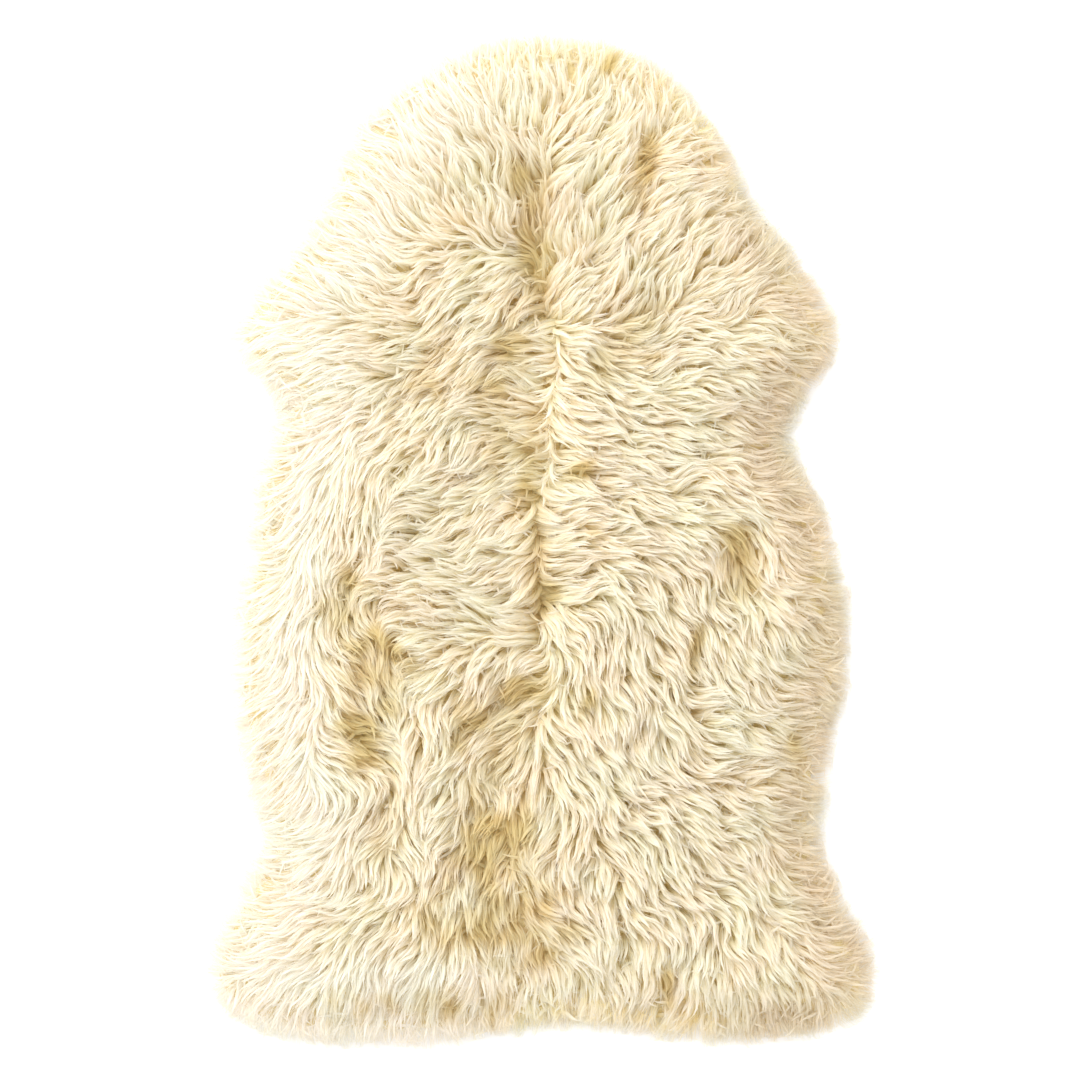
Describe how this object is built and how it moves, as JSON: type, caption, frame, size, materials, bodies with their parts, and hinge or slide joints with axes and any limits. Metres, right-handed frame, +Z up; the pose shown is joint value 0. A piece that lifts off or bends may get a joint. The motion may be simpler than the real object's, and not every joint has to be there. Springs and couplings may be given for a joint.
{
  "type": "sheepskin rug",
  "caption": "Whole natural sheepskin with its long cream wool on, a flat floor rug in the outline of the pelt, with neck, forelegs and hind legs.",
  "frame": {"origin": "on the floor, under the middle of the rug's box", "axes": "+Y towards the neck, +X to the right of the rug as seen from above, +Z up, out of the wool"},
  "size_m": [0.5964, 0.899, 0.062],
  "materials": {
    "wool": "long soft cream sheep's wool in wavy locks, golden where it parts",
    "hide": "pale suede, the flesh side of the tanned skin"
  },
  "bodies": {
    "root": {"sheepskin": "wool"}
  },
  "joints": []
}
